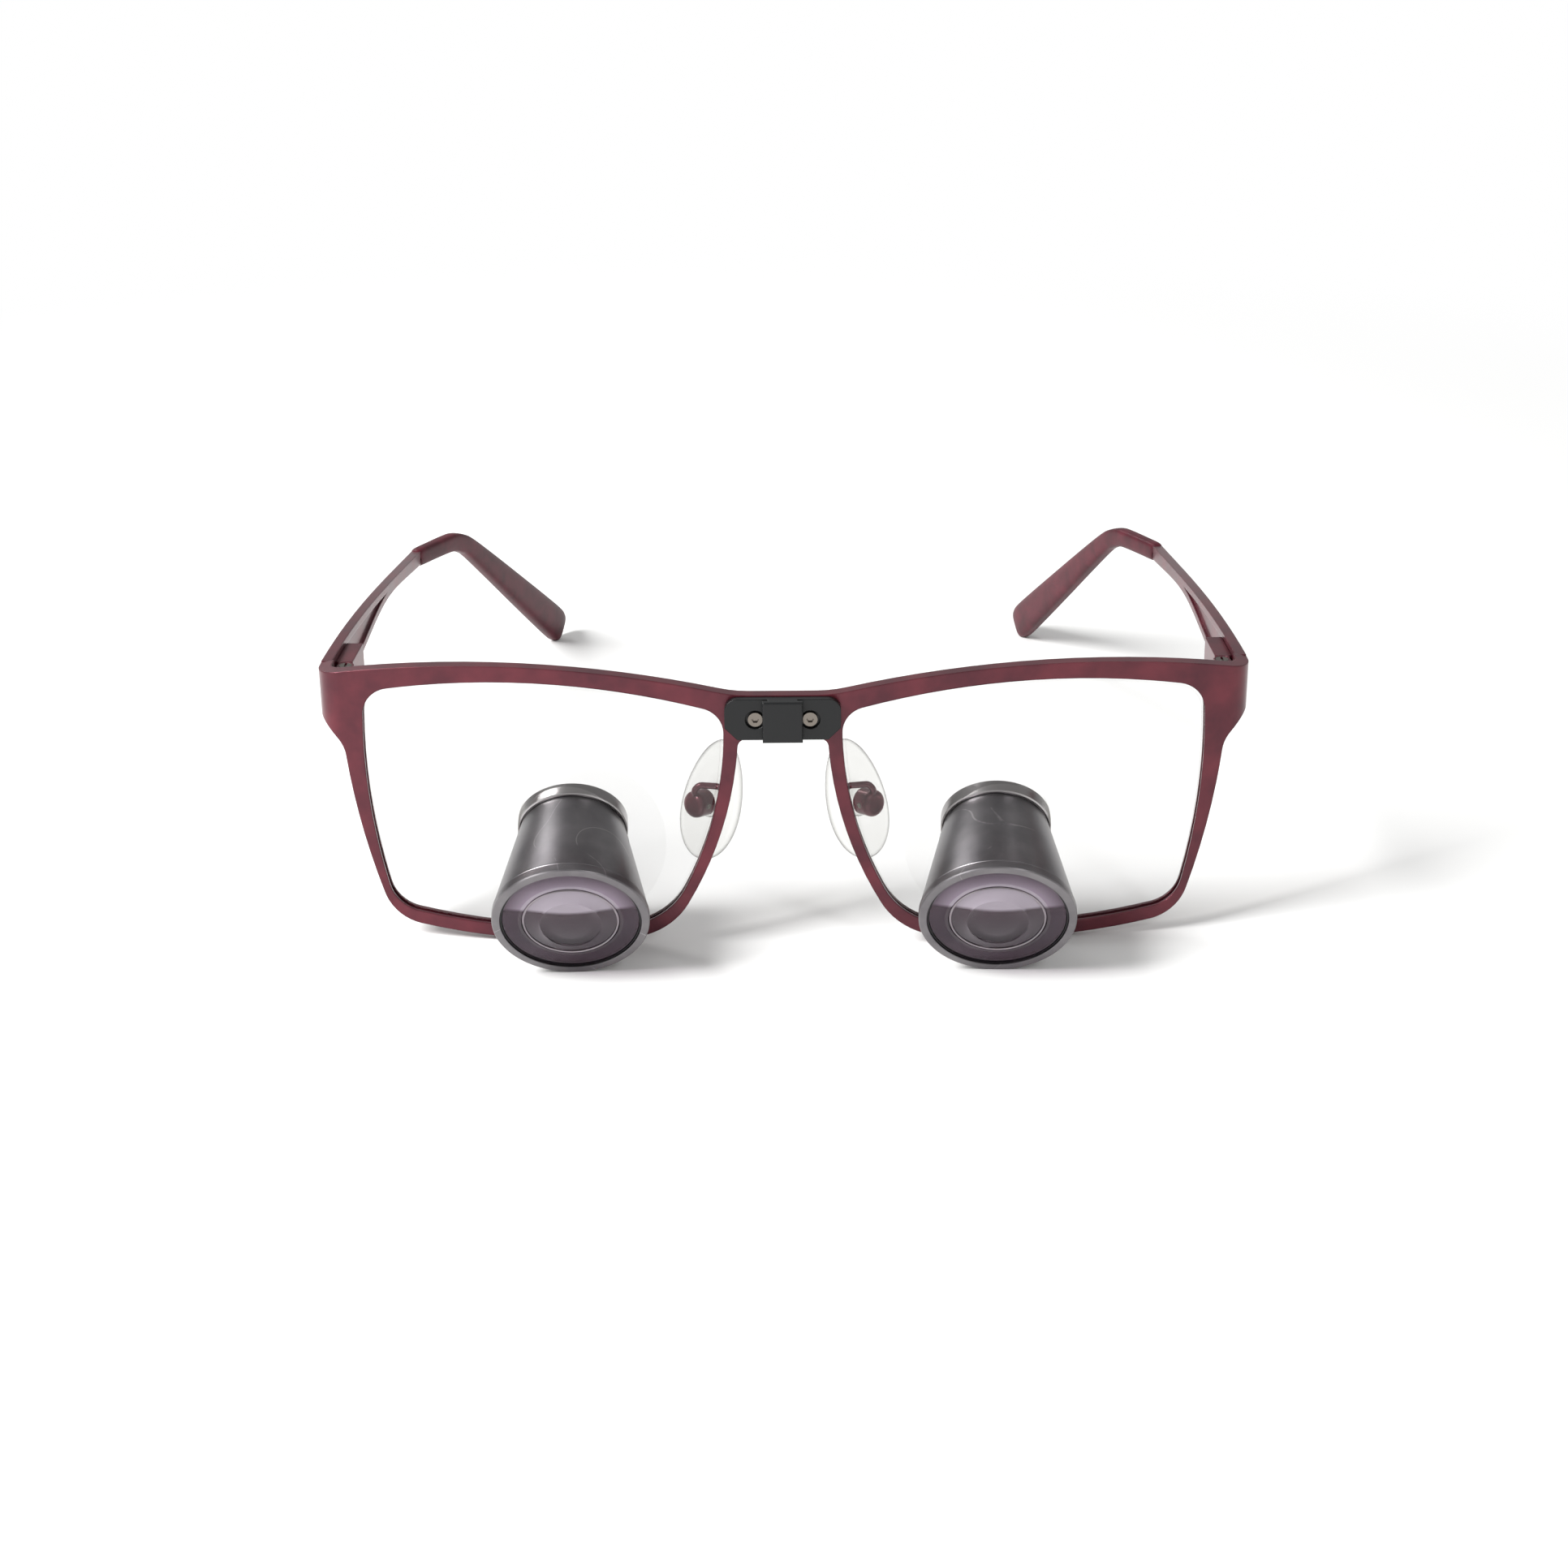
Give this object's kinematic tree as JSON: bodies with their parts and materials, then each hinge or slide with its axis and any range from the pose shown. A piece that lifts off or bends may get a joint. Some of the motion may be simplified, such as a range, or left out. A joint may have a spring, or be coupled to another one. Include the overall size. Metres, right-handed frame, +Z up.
{
  "type": "dental loupes",
  "caption": "Galilean telescopes set through the clear carrier lenses of a full-rim metal spectacle frame with folding temples, rocking nose pads and a headlight rail on the bridge.",
  "frame": {"origin": "on the table, under the middle of the whole object with the temples open", "axes": "+X to the wearer's left, +Y back along the temples, +Z up from the table on which the objective rims and the temple tips rest"},
  "size_m": [0.1414, 0.1581, 0.0457],
  "materials": {
    "burgundy_lacquer": "satin burgundy lacquer on thin metal",
    "tip_acetate": "polished burgundy acetate",
    "screw_steel": "turned steel",
    "black_anodised": "black anodised, fine bead blast",
    "lens_clear": "clear coated polycarbonate",
    "scope_titanium": "fine bead-blasted grey",
    "scope_collar": "turned and bright",
    "seal_black": "matt black",
    "retainer_black": "matt black anodised",
    "optics_glass": "polished optical glass with a violet anti-reflection coating",
    "pad_silicone": "clear silicone",
    "pad_core_plastic": "clear hard plastic"
  },
  "bodies": {
    "front": {"front_frame": "burgundy_lacquer", "front_hinge_left": "burgundy_lacquer", "front_hinge_right": "burgundy_lacquer", "pad_arm_left": "burgundy_lacquer", "pad_arm_right": "burgundy_lacquer", "hinge_screw_left": "screw_steel", "hinge_screw_right": "screw_steel", "pad_screw_left": "screw_steel", "pad_screw_right": "screw_steel", "rail_screws": "screw_steel", "rail_nut_plate": "screw_steel", "light_rail": "black_anodised", "carrier_lens_left": "lens_clear", "carrier_lens_right": "lens_clear", "scope_barrel_left": "scope_titanium", "scope_barrel_right": "scope_titanium", "scope_collar_left": "scope_collar", "scope_collar_right": "scope_collar", "objective_seal_left": "seal_black", "objective_seal_right": "seal_black", "scope_baffle_left": "seal_black", "scope_baffle_right": "seal_black", "objective_crown_lens_left": "optics_glass", "objective_crown_lens_right": "optics_glass", "objective_flint_lens_left": "optics_glass", "objective_flint_lens_right": "optics_glass", "eyepiece_lens_left": "optics_glass", "eyepiece_lens_right": "optics_glass", "eyepiece_retainer_left": "retainer_black", "eyepiece_retainer_right": "retainer_black"},
    "temple_arm_left": {"temple_left": "burgundy_lacquer", "temple_hinge_left": "burgundy_lacquer", "temple_tip_left": "tip_acetate"},
    "temple_arm_right": {"temple_right": "burgundy_lacquer", "temple_hinge_right": "burgundy_lacquer", "temple_tip_right": "tip_acetate"},
    "pad_left": {"nose_pad_left": "pad_silicone", "pad_core_left": "pad_core_plastic"},
    "pad_right": {"nose_pad_right": "pad_silicone", "pad_core_right": "pad_core_plastic"}
  },
  "joints": [
    {"name": "temple_fold_left", "type": "hinge", "parent": "front", "child": "temple_arm_left", "pos_m": [0.0672, -0.04778, 0.0394], "axis": [0, 0, 1], "range_deg": [0, 80]},
    {"name": "temple_fold_right", "type": "hinge", "parent": "front", "child": "temple_arm_right", "pos_m": [-0.0672, -0.04778, 0.0394], "axis": [0, 0, 1], "range_deg": [-74, 0]},
    {"name": "pad_rock_left", "type": "hinge", "parent": "front", "child": "pad_left", "pos_m": [0.0131, -0.05529, 0.02165], "axis": [0.766, 0.6428, 0], "range_deg": [-8, 8]},
    {"name": "pad_rock_right", "type": "hinge", "parent": "front", "child": "pad_right", "pos_m": [-0.0131, -0.05529, 0.02165], "axis": [-0.766, 0.6428, 0], "range_deg": [-8, 8]}
  ]
}
